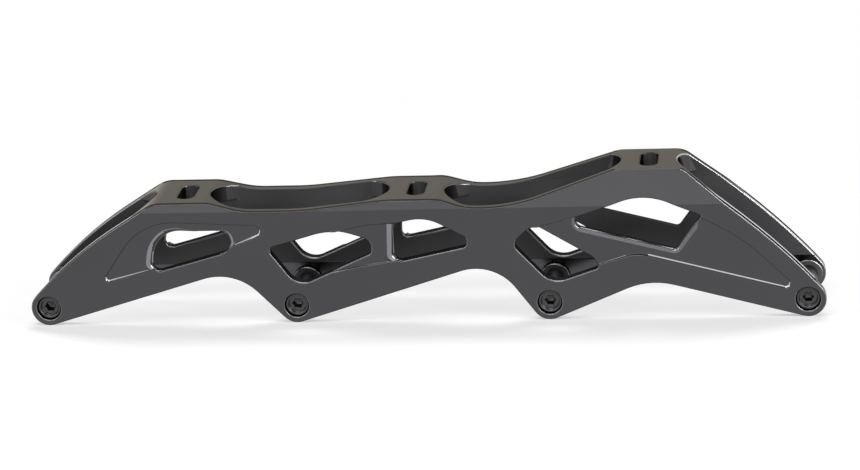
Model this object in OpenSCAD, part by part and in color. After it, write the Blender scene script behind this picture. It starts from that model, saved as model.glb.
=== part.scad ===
// Four-wheel inline skate frame: one machined aluminium channel and its four axle screws.
// X runs from the toe to the heel, Z is up, and the axle heads are on the -Y side.
// Heights in the outlines are measured from the line through the axle centres.

/* [Wheelbase] */
// Distance from one axle to the next
axle_pitch = 106.67; // [102:0.01:112]
// Radius of the wall's tips around the axles
tip_r = 7.5; // [7:0.1:9]

/* [Boot mount] */
// Distance from one mounting slot to the next
mount_pitch = 97.5; // [94:0.5:101]
// Middle mounting slot, from the middle of the wheelbase
mount_x = -2; // [-6:0.5:4]
// Width of a mounting slot, along the frame
slot_w = 7.2; // [6.2:0.1:9]
// Whole length of a mounting slot, across the frame
slot_l = 18.5; // [12:0.5:18.5]
// Length of the solid web around each slot
web_l = 23.4; // [20:0.1:27]
// How far the toe web sits towards the toe from its slot
toe_web_shift = 1.8; // [0:0.1:3]
// Thickness of the toe and middle webs
front_web_t = 8; // [5:0.1:9]
// Thickness of the heel web
heel_web_t = 9.8; // [6:0.1:11]

/* [Decks] */
// Height of the toe and middle decks above the axles
front_deck_h = 45.3; // [44:0.1:49]
// Height of the heel deck above the axles
heel_deck_h = 56.3; // [53:0.1:62]
// How far the rails dip below the front decks
rail_dip = 3.7; // [1:0.1:5]
// Toe deck's edge ahead of its slot
toe_deck_fore = 12.8; // [11:0.1:15]
// Toe deck's edge behind its slot
toe_deck_aft = 11; // [9:0.1:13]
// Middle deck's edge ahead of its slot
mid_deck_fore = 12; // [10:0.1:14]
// Middle deck's edge behind its slot
mid_deck_aft = 10.5; // [9:0.1:12]
// Heel deck's edge ahead of its slot
heel_deck_fore = 13; // [11:0.1:15]
// Heel deck's edge behind its slot
heel_deck_aft = 13.8; // [12:0.1:16]

/* [Channel section] */
// Width over the two walls
frame_w = 36; // [34.5:0.1:40]
// Thickness of a wall
wall_t = 4.8; // [4.2:0.1:5.2]
// Height above the axles where the outer faces start to lean in
bend_h = 42; // [39:0.5:43]
// Height above the axles where the inner faces start to lean in
inner_bend_h = 44; // [42:0.5:45]
// Lean of the upper walls, in degrees
lean = 16; // [8:1:18]
// End radius of the deck openings, past half the channel
opening_end = 0.8; // [0.4:0.1:2]
// Depth of the relief low on the inner faces
relief_t = 0.6; // [0.3:0.1:1]
// Height of that relief above the axles
relief_h = 8; // [7.5:0.1:9]

/* [Outer face] */
// Depth of the pockets in the outer faces
pocket_t = 1.2; // [0.5:0.1:2]

/* [Axles] */
// Gap between the bosses that the wheel's bearings sit in
boss_gap = 24; // [23:0.1:25]
// Diameter of a boss
boss_d = 12.8; // [11:0.1:14]
// Diameter of the axle's shank
axle_d = 8; // [7.5:0.1:8.4]
// Diameter of the axle's head
head_d = 10; // [9.5:0.1:11]
// Height of the axle's head
head_t = 2.2; // [1.6:0.1:2.6]
// How far the head sits below the outer face
head_sink = 1.4; // [0.2:0.1:1.6]
// Diameter of the axle's threaded end
thread_d = 7.1; // [6:0.1:7.3]
// How far the threaded end stops short of the far face
thread_sink = 0.4; // [0.2:0.1:1]
// Chamfer at both ends of an axle
axle_chamfer = 0.4; // [0.2:0.1:0.8]
// Diameter of the round recess in the axle's head
recess_d = 7.6; // [6:0.1:8]
// Depth of that recess
recess_t = 1.6; // [0.6:0.1:2]
// Size of the hex socket across its flats
hex_af = 4; // [3:0.5:5]
// Depth of the hex socket below the recess
hex_t = 4.5; // [2.5:0.1:6]
// Diameter of the nylon locking pellet
pellet_d = 2.4; // [1.6:0.1:2.8]
// Length of the nylon locking pellet
pellet_l = 1.6; // [1:0.1:2]
// Clearance all round an axle in its bores
axle_fit = 0.05; // [0.02:0.01:0.09]
// Clearance all round the head in its counterbore
head_fit = 0.1; // [0.05:0.05:0.3]
// Clearance all round a locking pellet in its hole
pellet_fit = 0.05; // [0.02:0.01:0.1]

/* [Hidden] */
$fn = 96;

// Colours
anodised_grey = [0.30, 0.30, 0.315];
black_oxide = [0.10, 0.10, 0.105];
nylon_blue = [0.16, 0.34, 0.62];

// Places along the frame
axle_x = [for (i = [0:3]) (i - 1.5) * axle_pitch];
slot_x = [for (i = [-1:1]) mount_x + i * mount_pitch];
web_mid = [slot_x[0] - toe_web_shift, slot_x[1], slot_x[2]];
deck_h = [front_deck_h, front_deck_h, heel_deck_h];
web_t = [front_web_t, front_web_t, heel_web_t];
axle_z = tip_r;
reach = 4 * axle_pitch;
over = 0.5;

// Cross-section
half_w = frame_w / 2;
half_in = half_w - wall_t;
lean_in = tan(lean);
top_h = heel_deck_h + over;
end_r = half_in + opening_end;

// Axle seats
head_seat = half_w - head_sink - head_t;
thread_end = half_w - thread_sink;
bore_d = axle_d + 2 * axle_fit;
tapped_d = thread_d + 2 * axle_fit;
counterbore_d = head_d + 2 * head_fit;
pellet_y = (boss_gap / 2 + thread_end) / 2;

// Lower outline: how steeply each arch rises and falls, and its radius
arches = [[16.5, 46.5, 22], [17.5, 54, 20], [23, 15, 30]];
// End slopes: angle by the deck, angle by the tip, radius of the long curve between
toe_slope = [31.8, 45, 170];
heel_slope = [39.4, 49, 270];
// Rounding of the deck's corners: toe end, then heel end
deck_round = [12, 9];
// Dips of the rails: place from the axle below, and the radius there
second_dip = [[-20.7, 40], [3.3, 100]];
third_dip = [[-33.3, 30], [-14.8, 80]];
// Radii where the rails leave the decks
rail_round = [20, 60, 15, 15];

// Windows and pockets: each corner's place, height above the axles and radius
toe_window = [[45.3, 14.9, 3], [112.2, 33.3, 5], [48.3, 33.3, 13]];
second_window = [[1.1, 8.2, 8], [32.7, 22.2, 2], [33.5, 28, 5], [16.8, 33.4, 25], [-11.2, 25.4, 2.2]];
middle_window = [[-9.3, 18.3, 3], [21.5, 24.9, 2], [22, 28.9, 2.5], [5, 38.3, 18], [-8.6, 35.5, 0.8]];
third_window = [[1.2, 8, 9], [21.5, 15, 1.5], [18.2, 19.6, 5], [-5.8, 34.2, 5], [-14.9, 25.8, 3.5]];
heel_window = [[4.5, 34.6, 3], [53, 21.9, 2], [63.9, 37, 1], [40.6, 46.7, 28]];
toe_pocket = [[23.5, 10.6, 1.5], [80, 26.2, 1], [102.6, 35.1, 2.5], [43.1, 38.2, 26]];
middle_pocket = [[-38, 14.2, 0], [-22, 17.2, 20], [-6, 19.5, 0], [-6, 35.7, 0],
    [-20, 35.3, 60], [-42, 30.2, 0]];
heel_pocket = [[16.7, 15, 0], [36.8, 21.1, 18], [104.2, 3.1, 2], [80.2, 27, 80], [58.7, 38.7, 0],
    [13.7, 37.8, 0], [-5.3, 32.6, 0]];

// Rounded corners: the most of a side that one may take, and how far its arc crosses its two sides
side_share = 0.9;
arc_cross = 0.005;

function unit(v) = v / norm(v);
function dir(a) = [cos(a), sin(a)];
function cross2(u, v) = u[0] * v[1] - u[1] * v[0];

// Point where the line through p at angle a meets the line through q at angle b
function meet(p, a, q, b) = p + dir(a) * cross2(q - p, dir(b)) / cross2(dir(a), dir(b));

// Rounding of the corner at b between a and c: its kite, its arc's centre and radius, and its turn
function rounding(a, b, c, r) =
    let (
        u = unit(a - b),
        v = unit(c - b),
        half = acos(u * v) / 2,
        arc_r = min(r, side_share * min(norm(a - b), norm(c - b)) * tan(half)),
        mid = unit(u + v) / sin(half),
        tip = b - mid * over,
        foot = (arc_r - arc_cross + over) / tan(half),
        centre = b + mid * (arc_r - arc_cross)
    )
    [[centre, tip + foot * u, tip, tip + foot * v], centre, arc_r, cross2(v, u)];

function shifted(pts, x) = [for (q = pts) [q[0] + x, q[1], q[2]]];
function at(p, r) = [p[0], p[1], r];

// Where a line at angle a touches the circle around axle i: side -1 below it, 1 above it
function touch(i, a, side) = [axle_x[i], 0] + side * tip_r * [-sin(a), cos(a)];
function rise(k) = [touch(k, arches[k][0], -1), arches[k][0]];
function fall(k) = [touch(k + 1, -arches[k][1], -1), -arches[k][1]];
function cross_at(l, m) = meet(l[0], l[1], m[0], m[1]);

toe_corner = [slot_x[0] - toe_deck_fore, front_deck_h];
heel_corner = [slot_x[2] + heel_deck_aft, heel_deck_h];
toe_low = [touch(0, toe_slope[1], 1), toe_slope[1]];
heel_low = [touch(3, -heel_slope[1], 1), -heel_slope[1]];
dip_h = front_deck_h - rail_dip;

// Side outline, along the bottom from the toe and back over the decks
side_outline = concat(
    [at(cross_at(toe_low, rise(0)), tip_r)],
    [for (k = [0:2]) each [
        at(cross_at(rise(k), fall(k)), arches[k][2]),
        at(cross_at(fall(k), k < 2 ? rise(k + 1) : heel_low), tip_r)]],
    [at(cross_at(heel_low, [heel_corner, -heel_slope[0]]), heel_slope[2])],
    [at(heel_corner, deck_round[1])],
    [[slot_x[2] - heel_deck_fore, heel_deck_h, rail_round[3]]],
    [for (j = [1, 0]) [axle_x[2] + third_dip[j][0], dip_h, third_dip[j][1]]],
    [[slot_x[1] + mid_deck_aft, front_deck_h, rail_round[2]]],
    [[slot_x[1] - mid_deck_fore, front_deck_h, rail_round[1]]],
    [for (j = [1, 0]) [axle_x[1] + second_dip[j][0], dip_h, second_dip[j][1]]],
    [[slot_x[0] + toe_deck_aft, front_deck_h, rail_round[0]]],
    [at(toe_corner, deck_round[0])],
    [at(cross_at(toe_low, [toe_corner, toe_slope[0]]), toe_slope[2])]);

windows = [shifted(toe_window, axle_x[0]), shifted(second_window, axle_x[1]),
    shifted(middle_window, slot_x[1]), shifted(third_window, axle_x[2]), shifted(heel_window, axle_x[2])];
pockets = [shifted(toe_pocket, axle_x[0]), shifted(middle_pocket, slot_x[1]),
    shifted(heel_pocket, axle_x[2])];

// What a rounding takes off its corner, or fills into it, from z0 to z1
module corner_piece(k, z0, z1) {
    difference() {
        translate([0, 0, z0]) linear_extrude(z1 - z0) polygon(k[0]);
        translate([k[1][0], k[1][1], z0 - over]) cylinder(r = k[2], h = z1 - z0 + 2 * over, $fn = 360);
    }
}

// A side outline pushed across the frame, from y0 to y1: its corners run anticlockwise as [x, z, radius]
module across(pts, y0, y1) {
    n = len(pts);
    p = [for (q = pts) [q[0], q[1]]];
    roundings = [for (i = [0:n - 1]) if (pts[i][2] > 0)
        rounding(p[(i + n - 1) % n], p[i], p[(i + 1) % n], pts[i][2])];
    translate([0, y1, 0]) rotate([90, 0, 0]) difference() {
        union() {
            linear_extrude(y1 - y0) polygon(p);
            for (k = roundings) if (k[3] < 0) corner_piece(k, 0, y1 - y0);
        }
        for (k = roundings) if (k[3] > 0) corner_piece(k, -over, y1 - y0 + over);
    }
}

// A section pushed along the frame: its low points, then half-width w up to the bend, then the lean
module along(low_pts, w, bend) {
    right = concat(low_pts, [[w, bend], [w - lean_in * (top_h - bend), top_h]]);
    left = [for (i = [len(right) - 1:-1:0]) [-right[i][0], right[i][1]]];
    rotate([90, 0, 90]) linear_extrude(reach, center = true) polygon(concat(right, left));
}

// A cylinder across the frame, from y0 to y1
module rod(d, y0, y1) {
    translate([0, y0, 0]) rotate([-90, 0, 0]) cylinder(d = d, h = y1 - y0);
}

// A deck opening with round ends at x0 and x1, seen from above
module opening(x0, x1) {
    translate([0, 0, -tip_r]) linear_extrude(top_h + tip_r + over) {
        translate([x0 + end_r, 0]) circle(end_r);
        translate([x1 - end_r, 0]) circle(end_r);
        translate([x0 + end_r, -half_w]) square([x1 - x0 - 2 * end_r, frame_w]);
    }
}

// The space between the walls: below the webs, and up through the deck openings and end notches
module channel() {
    step_x = (web_mid[1] + web_mid[2]) / 2;
    below = [[-reach, -tip_r - over, 0], [reach, -tip_r - over, 0], [reach, heel_deck_h - heel_web_t, 0],
        [step_x, heel_deck_h - heel_web_t, 0], [step_x, front_deck_h - front_web_t, 0],
        [-reach, front_deck_h - front_web_t, 0]];
    intersection() {
        along([[half_in + relief_t, -tip_r - over], [half_in + relief_t, relief_h], [half_in, relief_h]],
            half_in, inner_bend_h);
        union() {
            across(below, -half_w, half_w);
            opening(web_mid[0] + web_l / 2, web_mid[1] - web_l / 2);
            opening(web_mid[1] + web_l / 2, web_mid[2] - web_l / 2);
            opening(-reach, web_mid[0] - web_l / 2);
            opening(web_mid[2] + web_l / 2, reach);
        }
    }
}

module mounting_slot(i) {
    run = slot_l - slot_w;
    translate([slot_x[i], 0, deck_h[i] - web_t[i] - over]) linear_extrude(web_t[i] + 2 * over) {
        for (s = [-1, 1]) translate([0, s * run / 2]) circle(d = slot_w);
        square([slot_w, run], center = true);
    }
}

module axle_bores() {
    for (x = axle_x) translate([x, 0, 0]) {
        rod(counterbore_d, -half_w - over, -head_seat);
        rod(bore_d, -half_w - over, 0);
        rod(tapped_d, 0, half_w + over);
    }
}

module bosses() {
    for (x = axle_x, s = [0, 1]) mirror([0, s, 0])
        translate([x, 0, 0]) rod(boss_d, boss_gap / 2, half_w - wall_t / 2);
}

module frame_body() {
    color(anodised_grey) translate([0, 0, axle_z]) difference() {
        union() {
            difference() {
                intersection() {
                    across(side_outline, -half_w - over, half_w + over);
                    along([[half_w, -tip_r - over]], half_w, bend_h);
                }
                channel();
            }
            bosses();
        }
        for (w = windows) across(w, -half_w - over, half_w + over);
        for (p = pockets) {
            across(p, -half_w - over, -half_w + pocket_t);
            across(p, half_w - pocket_t, half_w + over);
        }
        for (i = [0:2]) mounting_slot(i);
        axle_bores();
    }
}

// A locking pellet's hole, or with no fit the pellet itself, still standing proud of the thread
module pellet_shape(fit) {
    translate([0, pellet_y, thread_d / 2 - pellet_l - fit])
        cylinder(d = pellet_d + 2 * fit, h = pellet_l + over);
}

// One-piece axle screw: recessed socket head, shank up to the far boss, and threaded end
module axle(i) {
    face_y = -head_seat - head_t;
    recess_y = face_y + recess_t;
    profile = [[0, recess_y], [recess_d / 2, recess_y], [recess_d / 2, face_y],
        [head_d / 2 - axle_chamfer, face_y], [head_d / 2, face_y + axle_chamfer], [head_d / 2, -head_seat],
        [axle_d / 2, -head_seat], [axle_d / 2, boss_gap / 2 - axle_fit],
        [thread_d / 2, boss_gap / 2 - axle_fit], [thread_d / 2, thread_end - axle_chamfer],
        [thread_d / 2 - axle_chamfer, thread_end], [0, thread_end]];
    color(black_oxide) translate([axle_x[i], 0, axle_z]) difference() {
        rotate([-90, 0, 0]) rotate_extrude() polygon(profile);
        translate([0, recess_y - over, 0]) rotate([-90, 0, 0])
            cylinder(d = hex_af / cos(30), h = hex_t + over, $fn = 6);
        pellet_shape(pellet_fit);
    }
}

// Nylon pellet that keeps a threaded end from working loose
module pellet(i) {
    color(nylon_blue) translate([axle_x[i], 0, axle_z]) intersection() {
        pellet_shape(0);
        rod(thread_d, boss_gap / 2, half_w);
    }
}

frame_body();
axle(0);  // toe_axle
axle(1);  // second_axle
axle(2);  // third_axle
axle(3);  // heel_axle
pellet(0);  // toe_axle_pellet
pellet(1);  // second_axle_pellet
pellet(2);  // third_axle_pellet
pellet(3);  // heel_axle_pellet
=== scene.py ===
import math

import bmesh
import bpy
from mathutils import Matrix, Vector


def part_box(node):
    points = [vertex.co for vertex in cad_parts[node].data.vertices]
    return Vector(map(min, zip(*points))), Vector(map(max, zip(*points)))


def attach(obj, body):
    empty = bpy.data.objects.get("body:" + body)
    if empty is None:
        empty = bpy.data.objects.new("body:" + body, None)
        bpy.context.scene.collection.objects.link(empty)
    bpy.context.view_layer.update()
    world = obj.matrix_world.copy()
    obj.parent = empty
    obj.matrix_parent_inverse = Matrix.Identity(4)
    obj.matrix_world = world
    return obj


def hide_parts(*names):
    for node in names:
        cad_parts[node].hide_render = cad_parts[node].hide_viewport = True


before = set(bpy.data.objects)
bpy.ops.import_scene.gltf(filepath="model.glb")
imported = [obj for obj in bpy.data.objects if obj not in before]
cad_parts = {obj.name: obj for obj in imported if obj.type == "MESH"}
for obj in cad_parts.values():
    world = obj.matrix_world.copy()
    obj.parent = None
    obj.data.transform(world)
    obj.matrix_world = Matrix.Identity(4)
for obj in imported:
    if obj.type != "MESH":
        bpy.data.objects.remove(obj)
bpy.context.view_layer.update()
scene = bpy.context.scene
scene.view_settings.view_transform = "Standard"
mm = 0.001
axleNames = ["toe_axle", "second_axle", "third_axle", "heel_axle"]
axleCentre = {name: sum(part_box(name), Vector()) / 2 for name in axleNames}
print("frame loaded:", ", ".join(sorted(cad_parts)))


def addObject(name, data):
    made = bpy.data.objects.new(name, data)
    scene.collection.objects.link(made)
    return made


# where a camera or lamp stands, turned to its target
def facing(place, target):
    look = Vector(target) - Vector(place)
    return Matrix.Translation(place) @ look.to_track_quat("-Z", "Y").to_matrix().to_4x4()


def grey(level):
    return (level, level, level, 1.0)


def scaled(colour, factor):
    return tuple(channel * factor for channel in colour[:3]) + (1.0,)


# shader maths as Python expressions: wraps one output socket
class Signal:
    def __init__(self, finish, socket):
        self.finish = finish
        self.socket = socket

    def maths(self, operation, other, swapped=False):
        pair = (other, self) if swapped else (self, other)
        return self.finish.node("ShaderNodeMath", {"operation": operation}, {0: pair[0], 1: pair[1]})

    def __add__(self, other):
        return self.maths("ADD", other)

    def __sub__(self, other):
        return self.maths("SUBTRACT", other)

    def __rsub__(self, other):
        return self.maths("SUBTRACT", other, swapped=True)

    def __mul__(self, other):
        return self.maths("MULTIPLY", other)

    __radd__ = __add__
    __rmul__ = __mul__


# one material or world tree, with one method that adds any node
class Finish:
    def __init__(self, owner):
        owner.use_nodes = True
        self.owner = owner
        self.tree = owner.node_tree
        self.tree.nodes.clear()

    def node(self, kind, settings=None, values=None, output=0):
        made = self.tree.nodes.new(kind)
        for name, value in (settings or {}).items():
            setattr(made, name, value)
        for key, value in (values or {}).items():
            self.feed(made.inputs[key], value)
        return Signal(self, made.outputs[output]) if made.outputs else None

    def feed(self, socket, value):
        if isinstance(value, Signal):
            self.tree.links.new(value.socket, socket)
        else:
            socket.default_value = value

    # a place in the piece's own space
    def spot(self):
        return self.node("ShaderNodeTexCoord", output="Object")

    def along(self, axis):
        return self.node("ShaderNodeSeparateXYZ", None, {0: self.spot()}, output=axis)

    # a noise from about 0 to 1
    def noise(self, scale, detail=2.0):
        values = {"Vector": self.spot(), "Scale": scale, "Detail": detail}
        return self.node("ShaderNodeTexNoise", None, values)

    # from start to end while the value goes from low to high
    def climb(self, value, low, high, start=0.0, end=1.0, shape="SMOOTHSTEP"):
        limits = {"From Min": low, "From Max": high, "To Min": start, "To Max": end}
        return self.node("ShaderNodeMapRange", {"interpolation_type": shape}, {"Value": value, **limits})

    def blend(self, share, first, second):
        return self.node("ShaderNodeMix", {"data_type": "RGBA"}, {0: share, 6: first, 7: second}, output=2)

    # a colour that a noise moves between two shares of itself
    def mottled(self, noise, colour, shares):
        low, high = [scaled(colour, share) for share in shares]
        return self.blend(noise, low, high)

    def bump(self, height, strength, distance):
        values = {"Strength": strength, "Distance": distance, "Height": height}
        return self.node("ShaderNodeBump", None, values)

    # 1 for rays of these kinds and 0 for others
    def raysOf(self, *kinds):
        seen = self.node("ShaderNodeLightPath", output=kinds[0])
        for kind in kinds[1:]:
            seen = seen.maths("MAXIMUM", self.node("ShaderNodeLightPath", output=kind))
        return seen

    # the Principled shader, joined to the output
    def surface(self, values):
        shader = self.node("ShaderNodeBsdfPrincipled", None, values)
        self.node("ShaderNodeOutputMaterial", None, {"Surface": shader})
        return self.owner


def newFinish(name):
    return Finish(bpy.data.materials.new(name))


cameraSettings = {
    "place": (0.1613, -1.205, 0.4486),
    "target": (0.0024, 0.0, 0.0318),
    "roll": -3.33,
    "lens": 127.8,
    "sensor": 36.0,
    "nearest": 0.05,
    "farthest": 50.0,
}


def addCamera(s):
    data = bpy.data.cameras.new("photoCamera")
    data.lens = s["lens"]
    data.sensor_width = s["sensor"]
    data.clip_start = s["nearest"]
    data.clip_end = s["farthest"]
    camera = addObject("photoCamera", data)
    roll = Matrix.Rotation(math.radians(s["roll"]), 4, "Z")
    camera.matrix_world = facing(s["place"], s["target"]) @ roll
    scene.camera = camera


addCamera(cameraSettings)
print("camera set")

studio = {
    "ambient": 0.16,
    "floorColour": 0.86,
    "floorSize": 6.0,
    # painted light: the floor's glow is low in front of the frame and high under and behind it, which pales
    # the shadow there
    "frontGlow": 0.05,   # share of white on the floor in front of the frame
    "underGlow": 0.75,   # the same under and behind it
    "underFrom": -0.022,
    "underTo": -0.012,
    "fadeFrom": 0.24,    # from here outwards the floor fades to white
    "fadeTo": 0.42,
    "lamps": {
        "topLamp": {"place": (-0.15, -0.40, 1.10), "size": (0.8, 0.4), "watts": 6.0},
        "heelLamp": {"place": (1.05, -0.42, 0.66), "size": (0.3, 0.9), "watts": 8.0},
        "toeLamp": {"place": (-1.00, -0.25, 0.78), "size": (0.4, 0.5), "watts": 4.0},
        "frontLamp": {"place": (0.10, -1.70, 0.50), "size": (2.2, 0.5), "watts": 2.3},
        "backLamp": {"place": (0.10, 0.60, 1.30), "size": (1.2, 0.4), "watts": 9.0},
    },
    "lampTarget": (0.0, 0.0, 0.03),
}


# the sky is white to the camera and in reflections, and a plain soft light to the rest
def addSky(s):
    world = bpy.data.worlds.new("studioWorld")
    scene.world = world
    sky = Finish(world)
    shown = sky.raysOf("Is Camera Ray", "Is Glossy Ray", "Is Transmission Ray")
    light = sky.node("ShaderNodeBackground", None, {"Color": grey(1.0), "Strength": s["ambient"]})
    white = sky.node("ShaderNodeBackground", None, {"Color": grey(1.0), "Strength": 1.0})
    both = sky.node("ShaderNodeMixShader", None, {0: shown, 1: light, 2: white})
    sky.node("ShaderNodeOutputWorld", None, {"Surface": both})


# the floor fades to white away from the frame and keeps its shadow in front of it, while a painted glow under
# and behind the frame pales its shadow there
def addFloor(s):
    half = s["floorSize"] / 2
    corners = [(-half, -half, 0), (half, -half, 0), (half, half, 0), (-half, half, 0)]
    mesh = bpy.data.meshes.new("studioFloor")
    mesh.from_pydata(corners, [], [(0, 1, 2, 3)])
    floor = addObject("studioFloor", mesh)
    paper = newFinish("palePaper")
    away = paper.node("ShaderNodeVectorMath", {"operation": "LENGTH"}, {0: paper.spot()}, output="Value")
    near = paper.climb(paper.along("Y"), s["underFrom"], s["underTo"], s["frontGlow"], s["underGlow"])
    fade = paper.climb(away, s["fadeFrom"], s["fadeTo"], near, 1.0)
    camera = paper.raysOf("Is Camera Ray") * fade
    mirrored = paper.raysOf("Is Glossy Ray", "Is Transmission Ray")
    matt = paper.node("ShaderNodeBsdfDiffuse", None, {"Color": grey(s["floorColour"])})
    glow = paper.node("ShaderNodeEmission", None, {"Color": grey(1.0), "Strength": 1.0})
    shown = camera.maths("MAXIMUM", mirrored)
    mixed = paper.node("ShaderNodeMixShader", None, {0: shown, 1: matt, 2: glow})
    paper.node("ShaderNodeOutputMaterial", None, {"Surface": mixed})
    mesh.materials.append(paper.owner)


def addLamps(s):
    for name, lamp in s["lamps"].items():
        data = bpy.data.lights.new(name, "AREA")
        data.shape = "RECTANGLE"
        data.size, data.size_y = lamp["size"]
        data.energy = lamp["watts"]
        addObject(name, data).matrix_world = facing(lamp["place"], s["lampTarget"])


addSky(studio)
addFloor(studio)
addLamps(studio)
print("studio lit")

anodised = {
    "colour": (0.076, 0.075, 0.080),
    "edgeTint": (0.70, 0.67, 0.60),
    "roughness": 0.17,
    "roughRange": 0.08,
    "grainScale": 3500.0,
    "grainHeight": 0.01 * mm,
    "grainStrength": 0.06,
    "cloudScale": 22.0,
    "cloudDetail": 3.0,
    "cloudRange": (0.95, 1.05),
    # painted light by place: lift of the colour (above 1 a painted highlight, on the plain rims partly also
    # the lighter metal of worn edges; below 1 painted shade), tint at a low angle, added roughness and share
    # of bare metal
    "places": {
        "outside": {"paintedLift": 1.0, "edge": 1.0, "matt": 0.0, "metallic": 1.0},
        # painted shade on the outer faces that lean in above the bend
        "leaning": {"paintedLift": 0.88, "edge": 0.95, "matt": 0.0, "metallic": 1.0},
        "rim": {"paintedLift": 2.0, "edge": 1.0, "matt": 0.05, "metallic": 1.0},
        "fillet": {"paintedLift": 3.2, "edge": 1.0, "matt": 0.0, "metallic": 1.0},
        "bright": {"paintedLift": 6.5, "edge": 1.0, "matt": 0.0, "metallic": 1.0},
        # a painted glint: the brightest painted highlight, on the inner strips of the slopes
        "paintedGlint": {"paintedLift": 11.0, "edge": 1.2, "matt": 0.0, "metallic": 1.0},
        "soft": {"paintedLift": 1.9, "edge": 1.0, "matt": 0.08, "metallic": 1.0},
        # a matt place that is also painted darker as shade: deck edges, downward rims and pocket step rims
        "dullShaded": {"paintedLift": 0.6, "edge": 0.6, "matt": 0.2, "metallic": 1.0},
        "dark": {"paintedLift": 0.45, "edge": 0.3, "matt": 0.3, "metallic": 1.0},
        # painted shade on the channel's inner faces
        "inside": {"paintedLift": 0.50, "edge": 1.0, "matt": 0.25, "metallic": 0.35},
    },
    # painted light: the inner faces are painted lighter towards their tops and the heel
    "insidePaintedLight": [
        {"axis": "Z", "from": 30 * mm, "to": 46 * mm, "paintedLift": 0.95},
        {"axis": "X", "from": 108 * mm, "to": 124 * mm, "paintedLift": 1.3},
    ],
}


# grey anodised aluminium: a fine blasted grain and a slow cloud in its tone, lifted or lowered in each place
# as painted highlight or shade
def makeAnodised(s, place):
    f = newFinish("greyAnodised_" + place)
    there = s["places"][place]
    cloud = f.noise(s["cloudScale"], detail=s["cloudDetail"])
    grain = f.noise(s["grainScale"])
    colour = f.mottled(cloud, scaled(s["colour"], there["paintedLift"]), s["cloudRange"])
    for tone in s["insidePaintedLight"] if place == "inside" else []:
        share = f.climb(f.along(tone["axis"]), tone["from"], tone["to"], shape="LINEAR")
        colour = f.blend(share, colour, scaled(s["colour"], tone["paintedLift"]))
    rough = (grain - 0.5) * s["roughRange"] + (s["roughness"] + there["matt"])
    return f.surface({"Base Color": colour, "Metallic": there["metallic"], "Roughness": rough,
                      "Specular Tint": scaled(s["edgeTint"], there["edge"]),
                      "Normal": f.bump(grain, s["grainStrength"], s["grainHeight"])})


# lit and shaded copies of the finish, one for each place
frameFinishes = [makeAnodised(anodised, place) for place in anodised["places"]]
finishIndex = {place: i for i, place in enumerate(anodised["places"])}
# places of painted highlight: on the wide window rims, and on all rounded faces
windowPlaces = ("fillet", "soft")
roundedPlaces = ("fillet", "soft", "bright")


def dress(face, place):
    face.material_index = finishIndex[place]


def wears(face, *places):
    return any(face.material_index == finishIndex[place] for place in places)


def innermost(face):
    return min(abs(v.co.y) for v in face.verts)


# faces between each ring of points and the next
def joinRings(bm, rings):
    faces = []
    for ring, after in zip(rings, rings[1:]):
        for i in range(len(ring)):
            j = (i + 1) % len(ring)
            faces.append(bm.faces.new((ring[i], ring[j], after[j], after[i])))
    return faces


def closedMesh(bm, name):
    bmesh.ops.recalc_face_normals(bm, faces=bm.faces)
    mesh = bpy.data.meshes.new(name)
    bm.to_mesh(mesh)
    bm.free()
    return mesh


# wide rims of the windows in the pockets, painted as highlights by their place: each corner's place from its
# axle, height above it and radius
windowRims = {
    "pocketFloor": 16.8 * mm,
    "clear": 0.05 * mm,
    "into": 0.6 * mm,
    "cross": 0.01 * mm,
    "thinnest": 0.08,
    "steps": 8,
    "arcStep": 8.0,
    "paths": [
        {"axle": "toe_axle", "place": "fillet", "radius": 2.6 * mm, "fadeIn": 6 * mm, "fadeOut": 14 * mm,
         "corners": [(50.0, 16.2, 0), (45.3, 14.9, 3), (48.3, 33.3, 13), (66.0, 33.3, 0)]},
        {"axle": "toe_axle", "place": "fillet", "radius": 1.6 * mm, "fadeIn": 5 * mm, "fadeOut": 5 * mm,
         "corners": [(74.5, 33.3, 0), (112.2, 33.3, 5), (75.8, 23.3, 0)]},
        {"axle": "second_axle", "place": "fillet", "radius": 2.8 * mm, "fadeIn": 5 * mm, "fadeOut": 0.0,
         "corners": [(46.0, 19.15, 0), (42.035, 18.3, 3), (42.7, 35.4, 0)]},
        {"axle": "third_axle", "place": "soft", "radius": 1.8 * mm, "fadeIn": 3 * mm, "fadeOut": 3 * mm,
         "corners": [(62.5, 35.0, 0), (60.7, 32.5, 0), (53.0, 21.9, 2), (4.5, 34.6, 3), (14.3, 37.9, 0)]},
    ],
}


# points and outward directions along a path that has its window on the right, with rounded corners
def roundedPath(corners, arcStep):
    spots = [Vector(corner[:2]) * mm for corner in corners]
    path = []
    for i, corner in enumerate(corners):
        radius = corner[2]
        if radius == 0:
            first = max(i - 1, 0)
            along = (spots[first + 1] - spots[first]).normalized()
            path.append((spots[i], Vector((-along.y, along.x))))
            continue
        before = (spots[i - 1] - spots[i]).normalized()
        after = (spots[i + 1] - spots[i]).normalized()
        half = before.angle(after) / 2
        centre = spots[i] + (before + after).normalized() * (radius * mm / math.sin(half))
        start = (spots[i] + before * (radius * mm / math.tan(half)) - centre).normalized()
        turn = math.pi - 2 * half
        count = math.ceil(math.degrees(turn) / arcStep)
        for step in range(count + 1):
            out = start.copy()
            out.rotate(Matrix.Rotation(-turn * step / count, 2))
            path.append((centre + out * radius * mm, out))
    return path


# a cut through a rim, as places across the window's edge and into the wall
def rimSection(s, radius):
    centre = radius - s["cross"]
    section = [(-s["into"], -s["clear"]), (centre, -s["clear"])]
    for step in range(s["steps"] + 1):
        angle = math.pi / 2 * step / s["steps"]
        section.append((centre - radius * math.sin(angle), centre - radius * math.cos(angle)))
    section.append((-s["into"], centre))
    return section


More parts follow.
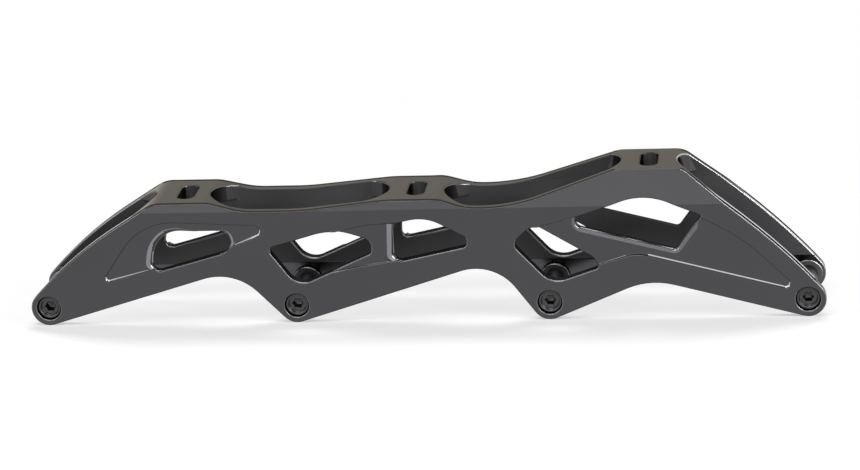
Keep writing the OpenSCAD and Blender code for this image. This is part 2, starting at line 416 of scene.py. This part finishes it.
# what a rounded rim takes off its window's edge, on both walls, carrying the rim's painted highlight
def addRimCutter(bm, s, rim):
    path = roundedPath(rim["corners"], s["arcStep"])
    lengths = [0.0]
    for here, there in zip(path, path[1:]):
        lengths.append(lengths[-1] + (there[0] - here[0]).length)
    axle = axleCentre[rim["axle"]]
    faces = []
    for side in (-1, 1):
        rings = []
        for (spot, out), gone in zip(path, lengths):
            share = 1.0
            for run, fade in ((gone, rim["fadeIn"]), (lengths[-1] - gone, rim["fadeOut"])):
                if fade:
                    share = min(share, s["thinnest"] + run / fade)
            ring = []
            for across, deep in rimSection(s, rim["radius"] * share):
                x, z = spot + out * across
                ring.append(bm.verts.new((axle.x + x, side * (s["pocketFloor"] - deep), axle.z + z)))
            rings.append(ring)
        faces += joinRings(bm, rings)
        faces += [bm.faces.new(rings[0]), bm.faces.new(rings[-1])]
    for face in faces:
        dress(face, rim["place"])


def makeRimCutters(s):
    bm = bmesh.new()
    for rim in s["paths"]:
        addRimCutter(bm, s, rim)
    mesh = closedMesh(bm, "rimCutters")
    for finish in frameFinishes:
        mesh.materials.append(finish)
    return addObject("rimCutters", mesh)


# widths and places of the channel's rims, with the angles in degrees and facings that tell its faces apart
frameRims = {
    "sharpFrom": 12.0,
    "rimFrom": 32.0,
    "flatWithin": 0.03,
    "weldSolid": 0.001 * mm,
    "weldCut": 0.005 * mm,
    "weldRims": 0.002 * mm,
    "rimWidth": 0.45 * mm,
    "rimSteps": 3,
    "pocketRim": 0.3 * mm,
    "pocketSteps": 4,
    "hollowWidth": 0.55 * mm,
    "hollowSteps": 4,
    "hollowUp": -0.1,
    "hollowSharp": 8.0,
    "flatFacing": 0.999,
    "softHollows": [(-45 * mm, 0.0), (60 * mm, 102 * mm)],   # where the pockets' corners stay plain
    "overWidth": 0.002 * mm,
    "pullIn": 0.02 * mm,
    "flatWeight": 80,
    "insideFrom": 13.4 * mm,
    "insideFacing": 0.7,
    "leaningFrom": 14.0 * mm,
    "leaningFacing": (0.24, 0.31),
    "stepFrom": 16.5 * mm,
    "stepTo": 17.0 * mm,
    "stepAcross": 0.3,
    "stepFacing": 0.5,
    "deckAbove": 47 * mm,
    "slopeFrom": 100 * mm,
    "slopeUp": 0.2,
    "slopeOut": 0.25,
    "outerFrom": 15 * mm,
    "lengthwise": 0.25,
    "dullBelow": -0.25,
    "downward": -0.15,
    "heelWindow": (57.5 * mm, 118 * mm, 27 * mm, 46 * mm),   # its ends, then its foot and top
    "heelWindowInner": 16.5 * mm,
    "slotWithin": 12 * mm,
    "slotEndFacing": 0.6,
    "floorsBelow": 46 * mm,
    "floorsWithin": 119 * mm,
    "floorInner": 14 * mm,
    "floorFacing": 0.3,
    "floorUp": 0.1,
}

# tops of the rails, decks and slopes: painted shade along their outer edges, with a painted highlight strip
# inside on the slopes
railTops = {
    "above": 46 * mm,
    "level": 0.7,
    "sideways": 0.2,
    "rimTilt": (0.2, 0.9),
    "slopeFrom": 100 * mm,
    "slopeAbove": 16 * mm,
    "slopeUp": 0.2,
    "slopeOut": 0.3,
    "lean": math.radians(16),
    "halfWidth": 18.0 * mm,
    "bend": 49.5 * mm,
    "outerStrip": 2.2 * mm,
    "halfInside": 13.2 * mm,
    "innerBend": 51.5 * mm,
    "innerStrip": 1.9 * mm,
    "innerWithin": 16 * mm,
    "innerSlack": 2 * mm,
    "cutWithin": 0.001 * mm,
}


# which kind of top a face lies on, if it does
def topKind(face, s):
    if not wears(face, "outside") or abs(face.normal.y) > s["sideways"]:
        return None
    middle = face.calc_center_median()
    atEnd = abs(middle.x) > s["slopeFrom"] and middle.z > s["slopeAbove"]
    facesOut = face.normal.x * middle.x > s["slopeOut"] * abs(middle.x)
    if atEnd and facesOut and face.normal.z > s["slopeUp"]:
        return "slope" if innermost(face) < s["innerWithin"] else None
    if middle.z > s["above"] and face.normal.z > s["level"]:
        return "deck"
    return None


# half a width at a height, less where it leans in above a bend
def topEdge(half, bend, lean, z):
    return half - max(0.0, z - bend) * math.tan(lean)


# cut the tops of one kind along a line that leans in above a bend
def cutTops(bm, s, kind, half, bend):
    for side in (-1, 1):
        for lean, upper in ((0.0, False), (s["lean"], True)):
            tops = []
            for face in bm.faces:
                crosses = max(v.co.y * side for v in face.verts) > half - s["outerStrip"]
                if crosses and (face.calc_center_median().z > bend) == upper and topKind(face, s) == kind:
                    tops.append(face)
            parts = set(tops)
            for face in tops:
                parts.update(face.edges)
                parts.update(face.verts)
            bmesh.ops.bisect_plane(bm, geom=list(parts), dist=s["cutWithin"], plane_co=(0, side * half, bend),
                                   plane_no=(0, side * math.cos(lean), math.sin(lean)))
    bm.normal_update()


def finishTops(bm, s):
    cutTops(bm, s, "deck", s["halfWidth"] - s["outerStrip"], s["bend"])
    cutTops(bm, s, "slope", s["halfInside"] + s["innerStrip"], s["innerBend"])
    low, high = s["rimTilt"]
    for face in bm.faces:
        middle = face.calc_center_median()
        onRim = wears(face, "outside") and low < abs(face.normal.y) < high
        if onRim and middle.z > s["above"] and abs(middle.x) < s["slopeFrom"]:
            dress(face, "dullShaded")
        kind = topKind(face, s)
        if kind == "deck":
            outer = topEdge(s["halfWidth"], s["bend"], s["lean"], middle.z) - s["outerStrip"]
            if abs(middle.y) > outer:
                dress(face, "dullShaded")
        # the slopes' inner strips get a painted glint, plain on the far wall's toe, and the rest of the
        # slopes painted shade
        elif kind == "slope" and innermost(face) > s["halfInside"] - s["innerSlack"]:
            inner = topEdge(s["halfInside"], s["innerBend"], s["lean"], middle.z) + s["innerStrip"]
            strip = "outside" if middle.x < 0 < middle.y else "paintedGlint"   # plain on the far wall's toe
            dress(face, strip if abs(middle.y) < inner else "dark")


# the finish of a rim's face: painted highlight on the heel's slope and plainer on the toe's, matt and painted
# shade where it faces down and along the decks, painted shade inside the heel window, and elsewhere the rim's
# own painted highlight
def rimPlace(face, s):
    middle = face.calc_center_median()
    isOuter = abs(middle.y) > s["outerFrom"]
    if face.normal.z > s["slopeUp"]:
        if middle.x > s["slopeFrom"] and face.normal.x > s["slopeOut"]:
            return "fillet" if isOuter else "bright"
        if middle.x < -s["slopeFrom"] and face.normal.x < -s["slopeOut"]:
            return "outside" if isOuter else "soft"
    if face.normal.z < s["downward"]:
        return "dullShaded"
    left, right, low, high = s["heelWindow"]
    if left < middle.x < right and low < middle.z < high and abs(middle.y) < s["heelWindowInner"]:
        return "dark"
    outerEdge = abs(middle.x) < s["slopeFrom"] and isOuter
    slotEnd = abs(middle.y) < s["slotWithin"] and abs(face.normal.x) < s["slotEndFacing"]
    runsAlong = abs(face.normal.x) < s["lengthwise"]
    if middle.z > s["deckAbove"] and (outerEdge or slotEnd or runsAlong):
        return "dullShaded"
    return "rim"


# the wall of a pocket's step, if the edge runs along one
def stepWall(edge, s):
    along = edge.verts[1].co - edge.verts[0].co
    if abs(along.y) > s["stepAcross"] * along.length:
        return None
    for face in edge.link_faces:
        depths = [abs(v.co.y) for v in face.verts]
        isWall = abs(face.normal.y) < s["stepFacing"] and not wears(face, *windowPlaces)
        if isWall and min(depths) > s["stepFrom"] and max(depths) > s["stepTo"]:
            return face
    return None


# the upward wall of a window
def windowFloor(face, s):
    middle = face.calc_center_median()
    if abs(face.normal.y) > s["floorFacing"] or face.normal.z < s["floorUp"]:
        return False
    if middle.z > s["floorsBelow"] or abs(middle.x) > s["floorsWithin"]:
        return False
    return innermost(face) < s["floorInner"]


def isBent(edge, s):
    return edge.calc_face_angle(0) > math.radians(s["rimFrom"])


def bevelEdges(bm, s, edges, width, steps, place):
    bmesh.ops.bevel(bm, geom=edges, offset=width, offset_type="OFFSET", segments=steps, profile=0.5,
                    affect="EDGES", clamp_overlap=False, material=finishIndex[place])
    bmesh.ops.remove_doubles(bm, verts=bm.verts, dist=s["weldRims"])
    bm.normal_update()


# the solid less its wide window rims
def cutRims(mesh, cutters):
    blank = addObject("channelBlank", mesh)
    cut = blank.modifiers.new("windowRims", "BOOLEAN")
    cut.operation = "DIFFERENCE"
    cut.solver = "EXACT"
    cut.material_mode = "INDEX"
    cut.object = cutters
    bpy.context.view_layer.update()
    whole = blank.evaluated_get(bpy.context.evaluated_depsgraph_get())
    done = bpy.data.meshes.new_from_object(whole)
    for spent in (blank, cutters):
        bpy.data.objects.remove(spent)
    return done


# the cut solid, welded and with its flat faces whole
def startChannel(bm, s, cutters):
    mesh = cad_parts["frame_body"].data.copy()
    bm.from_mesh(mesh)
    bmesh.ops.remove_doubles(bm, verts=bm.verts, dist=s["weldSolid"])
    for face in bm.faces:
        dress(face, "outside")
    bm.to_mesh(mesh)
    mesh.materials.clear()
    for finish in frameFinishes:
        mesh.materials.append(finish)
    mesh = cutRims(mesh, cutters)
    mesh.name = "channel"
    bm.clear()
    bm.from_mesh(mesh)
    bmesh.ops.remove_doubles(bm, verts=bm.verts, dist=s["weldCut"])
    bmesh.ops.dissolve_limit(bm, angle_limit=math.radians(s["flatWithin"]), verts=bm.verts, edges=bm.edges,
                             delimit={"MATERIAL"})
    bm.normal_update()
    return mesh


# round the hollow corners along the pockets' steps, painted as a bright highlight
def hollowPockets(bm, s):
    hollow = []
    for edge in bm.edges:
        wall = stepWall(edge, s)
        if wall and not edge.is_convex and isBent(edge, s) and wall.normal.z > s["hollowUp"]:
            hollow.append(edge)
    bevelEdges(bm, s, hollow, s["hollowWidth"], s["hollowSteps"], "bright")


# the walls: inner faces get painted shade, the windows' upward walls a darker painted shade, and rounded
# faces that face down, or bright ones where the pockets' corners stay plain, lose their painted highlight
def finishWalls(bm, s):
    for face in bm.faces:
        face.smooth = True
        middle = face.calc_center_median()
        inside = abs(middle.y) < s["insideFrom"] and abs(face.normal.y) > s["insideFacing"]
        plain = any(start < middle.x < end for start, end in s["softHollows"])
        if not wears(face, *roundedPlaces) or face.normal.z < s["dullBelow"]:
            dress(face, "inside" if inside else "dark" if windowFloor(face, s) else "outside")
        elif wears(face, "bright") and plain:
            dress(face, "outside")


# corners that stay sharp, with limits of their own along the rounded rims
def markSharp(bm, s):
    for edge in bm.edges:
        limit = s["sharpFrom"]
        if any(wears(face, *roundedPlaces) for face in edge.link_faces):
            onFlat = any(abs(face.normal.y) > s["flatFacing"] for face in edge.link_faces)
            limit = s["hollowSharp"] if onFlat else s["rimFrom"]
        edge.smooth = edge.calc_face_angle(0) < math.radians(limit)


# break the pockets' edges, leaving those that face down matt and painted shade, then break the outer ones as
# rims with a painted highlight, and keep every point within the frame's width
def breakEdges(bm, s):
    steps = [edge for edge in bm.edges if edge.is_convex and isBent(edge, s) and stepWall(edge, s)]
    bevelEdges(bm, s, steps, s["pocketRim"], s["pocketSteps"], "dullShaded")
    for face in bm.faces:
        if wears(face, "dullShaded") and face.normal.z > 0:
            dress(face, "outside")
    outer = [edge for edge in bm.edges if edge.is_convex and isBent(edge, s)]
    bevelEdges(bm, s, outer, s["rimWidth"], s["rimSteps"], "rim")
    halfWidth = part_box("frame_body")[1].y
    for point in bm.verts:
        if abs(point.co.y) > halfWidth + s["overWidth"]:
            point.co.y = math.copysign(halfWidth - s["pullIn"], point.co.y)
    bm.normal_update()


def finishRims(bm, s):
    for face in bm.faces:
        face.smooth = True
        if wears(face, "rim"):
            dress(face, rimPlace(face, s))


# the outer faces above the bend, which lean in, painted a little darker as shade
def finishLean(bm, s):
    low, high = s["leaningFacing"]
    for face in bm.faces:
        isOuter = abs(face.calc_center_median().y) > s["leaningFrom"]
        if wears(face, "outside") and isOuter and low < face.normal.z < high:
            dress(face, "leaning")


# the channel: its solid with wide window rims, hollow pocket corners and its sharp outer edges broken, and
# each place painted lighter or darker as highlight or shade
def makeChannel(s, cutters):
    bm = bmesh.new()
    mesh = startChannel(bm, s, cutters)
    hollowPockets(bm, s)
    finishWalls(bm, s)
    markSharp(bm, s)
    breakEdges(bm, s)
    finishRims(bm, s)
    finishTops(bm, railTops)
    finishLean(bm, s)
    bm.to_mesh(mesh)
    bm.free()
    piece = addObject("channel", mesh)
    flat = piece.modifiers.new("flatFaces", "WEIGHTED_NORMAL")
    flat.keep_sharp = True
    flat.weight = s["flatWeight"]
    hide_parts("frame_body")
    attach(piece, "frame")
    return piece


channel = makeChannel(frameRims, makeRimCutters(windowRims))
print("channel:", len(channel.data.polygons), "faces")

blackOxide = {
    "colour": (0.072, 0.072, 0.073),
    "cloudScale": 160.0,
    "cloudDetail": 3.0,
    "cloudRange": (0.8, 1.2),
    "roughness": 0.34,
    "roughRange": 0.12,
    "grainScale": 1800.0,
    "grainStrength": 0.08,
    "grainHeight": 0.01 * mm,
}


def makeSteel(s):
    f = newFinish("blackOxideSteel")
    grain = f.noise(s["grainScale"])
    cloud = f.noise(s["cloudScale"], detail=s["cloudDetail"])
    return f.surface({"Base Color": f.mottled(cloud, s["colour"], s["cloudRange"]), "Metallic": 1.0,
                      "Roughness": (grain - 0.5) * s["roughRange"] + s["roughness"],
                      "Normal": f.bump(grain, s["grainStrength"], s["grainHeight"])})


steelFinish = makeSteel(blackOxide)

# along an axle from the middle of the frame, and across it
axleScrew = {
    "steps": 48,
    "faceAt": -16.6 * mm,
    "recessAt": -15.0 * mm,
    "seatAt": -14.4 * mm,
    "shankEnd": 11.95 * mm,
    "threadEnd": 17.6 * mm,
    "headRadius": 5.0 * mm,
    "recessRadius": 3.8 * mm,
    "shankRadius": 4.0 * mm,
    "threadRadius": 3.55 * mm,
    "threadDepth": 0.5 * mm,
    "threadPitch": 1.0 * mm,
    "threadFlank": 2.4,
    "rowsPerTurn": 12,
    "hexFlats": 4.0 * mm,
    "hexDeep": 4.5 * mm,
    "hexPoint": 0.8 * mm,
    "hexFlare": 0.1 * mm,
    "soften": 0.2 * mm,
    "chamfer": 0.4 * mm,
    "sharpFrom": 30.0,
}


# rows of an axle screw, as a place along it and a radius or a rule for the radius at an angle
def axleRows(s):
    soft = s["soften"]
    face, seat, recess, shankEnd = s["faceAt"], s["seatAt"], s["recessAt"], s["shankEnd"]
    head, cup, shank = s["headRadius"], s["recessRadius"], s["shankRadius"]
    root = s["threadRadius"] - s["threadDepth"]
    hexHalf = s["hexFlats"] / 2
    hexCorner = hexHalf / math.cos(math.radians(30))

    def hexagon(angle):
        return hexHalf / math.cos((angle % math.radians(60)) - math.radians(30))

    # the thread runs out over one pitch at each end
    def threadAt(y):
        fromEnd = min(y - shankEnd, s["threadEnd"] - y) / s["threadPitch"]
        height = s["threadDepth"] * min(1.0, max(0.0, fromEnd))

        def radius(angle):
            phase = (y / s["threadPitch"] - angle / (2 * math.pi)) % 1.0
            return root + height * min(1.0, s["threadFlank"] * min(phase, 1.0 - phase))
        return radius

    rows = [(recess + s["hexDeep"], hexagon), (recess + soft, hexagon), (recess, hexCorner + s["hexFlare"]),
            (recess, cup - soft), (recess - soft, cup),
            (face + soft, cup), (face, cup + soft),
            (face, head - s["chamfer"]), (face + s["chamfer"], head),
            (seat - soft, head), (seat, head - soft),
            (seat, shank), (shankEnd - soft, shank),
            (shankEnd, shank - soft), (shankEnd, root)]
    threadLength = s["threadEnd"] - shankEnd
    count = round(threadLength / s["threadPitch"] * s["rowsPerTurn"])
    for i in range(1, count + 1):
        y = shankEnd + threadLength * i / count
        rows.append((y, threadAt(y)))
    return rows


def makeAxleScrew(s, name):
    centre = axleCentre[name]
    bm = bmesh.new()
    rings = []
    for y, radius in axleRows(s):
        ring = []
        for i in range(s["steps"]):
            angle = 2 * math.pi * i / s["steps"]
            out = radius(angle) if callable(radius) else radius
            spot = (centre.x + out * math.cos(angle), y, centre.z + out * math.sin(angle))
            ring.append(bm.verts.new(spot))
        rings.append(ring)
    joinRings(bm, rings)
    point = bm.verts.new((centre.x, s["recessAt"] + s["hexDeep"] + s["hexPoint"], centre.z))
    for i in range(s["steps"]):
        bm.faces.new((point, rings[0][(i + 1) % s["steps"]], rings[0][i]))
    bm.faces.new(rings[-1])
    mesh = closedMesh(bm, name + "_screw")
    mesh.materials.append(steelFinish)
    mesh.shade_smooth()
    mesh.set_sharp_from_angle(angle=math.radians(s["sharpFrom"]))
    piece = addObject(name + "_screw", mesh)
    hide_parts(name)
    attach(piece, name + "_screw")


for axleName in axleNames:
    makeAxleScrew(axleScrew, axleName)
print("axle screws:", len(axleNames))

nylon = {
    "colour": (0.03, 0.10, 0.36),
    "colourRange": (0.8, 1.25),
    "roughness": 0.45,
    "roughRange": 0.2,
    "grainScale": 900.0,
    "grainDetail": 3.0,
    "grainStrength": 0.15,
    "grainHeight": 0.02 * mm,
    "translucence": 0.1,
    "edge": 0.12 * mm,
    "edgeSteps": 2,
}


def makeNylon(s):
    f = newFinish("dyedNylon")
    grain = f.noise(s["grainScale"], detail=s["grainDetail"])
    return f.surface({"Base Color": f.mottled(grain, s["colour"], s["colourRange"]),
                      "Roughness": (grain - 0.5) * s["roughRange"] + s["roughness"],
                      "Subsurface Weight": s["translucence"],
                      "Normal": f.bump(grain, s["grainStrength"], s["grainHeight"])})


nylonFinish = makeNylon(nylon)
for axleName in axleNames:
    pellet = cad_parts[axleName + "_pellet"]
    pellet.data.materials.clear()
    pellet.data.materials.append(nylonFinish)
    edge = pellet.modifiers.new("roundedEdge", "BEVEL")
    edge.width = nylon["edge"]
    edge.segments = nylon["edgeSteps"]
print("locking pellets:", len(axleNames))
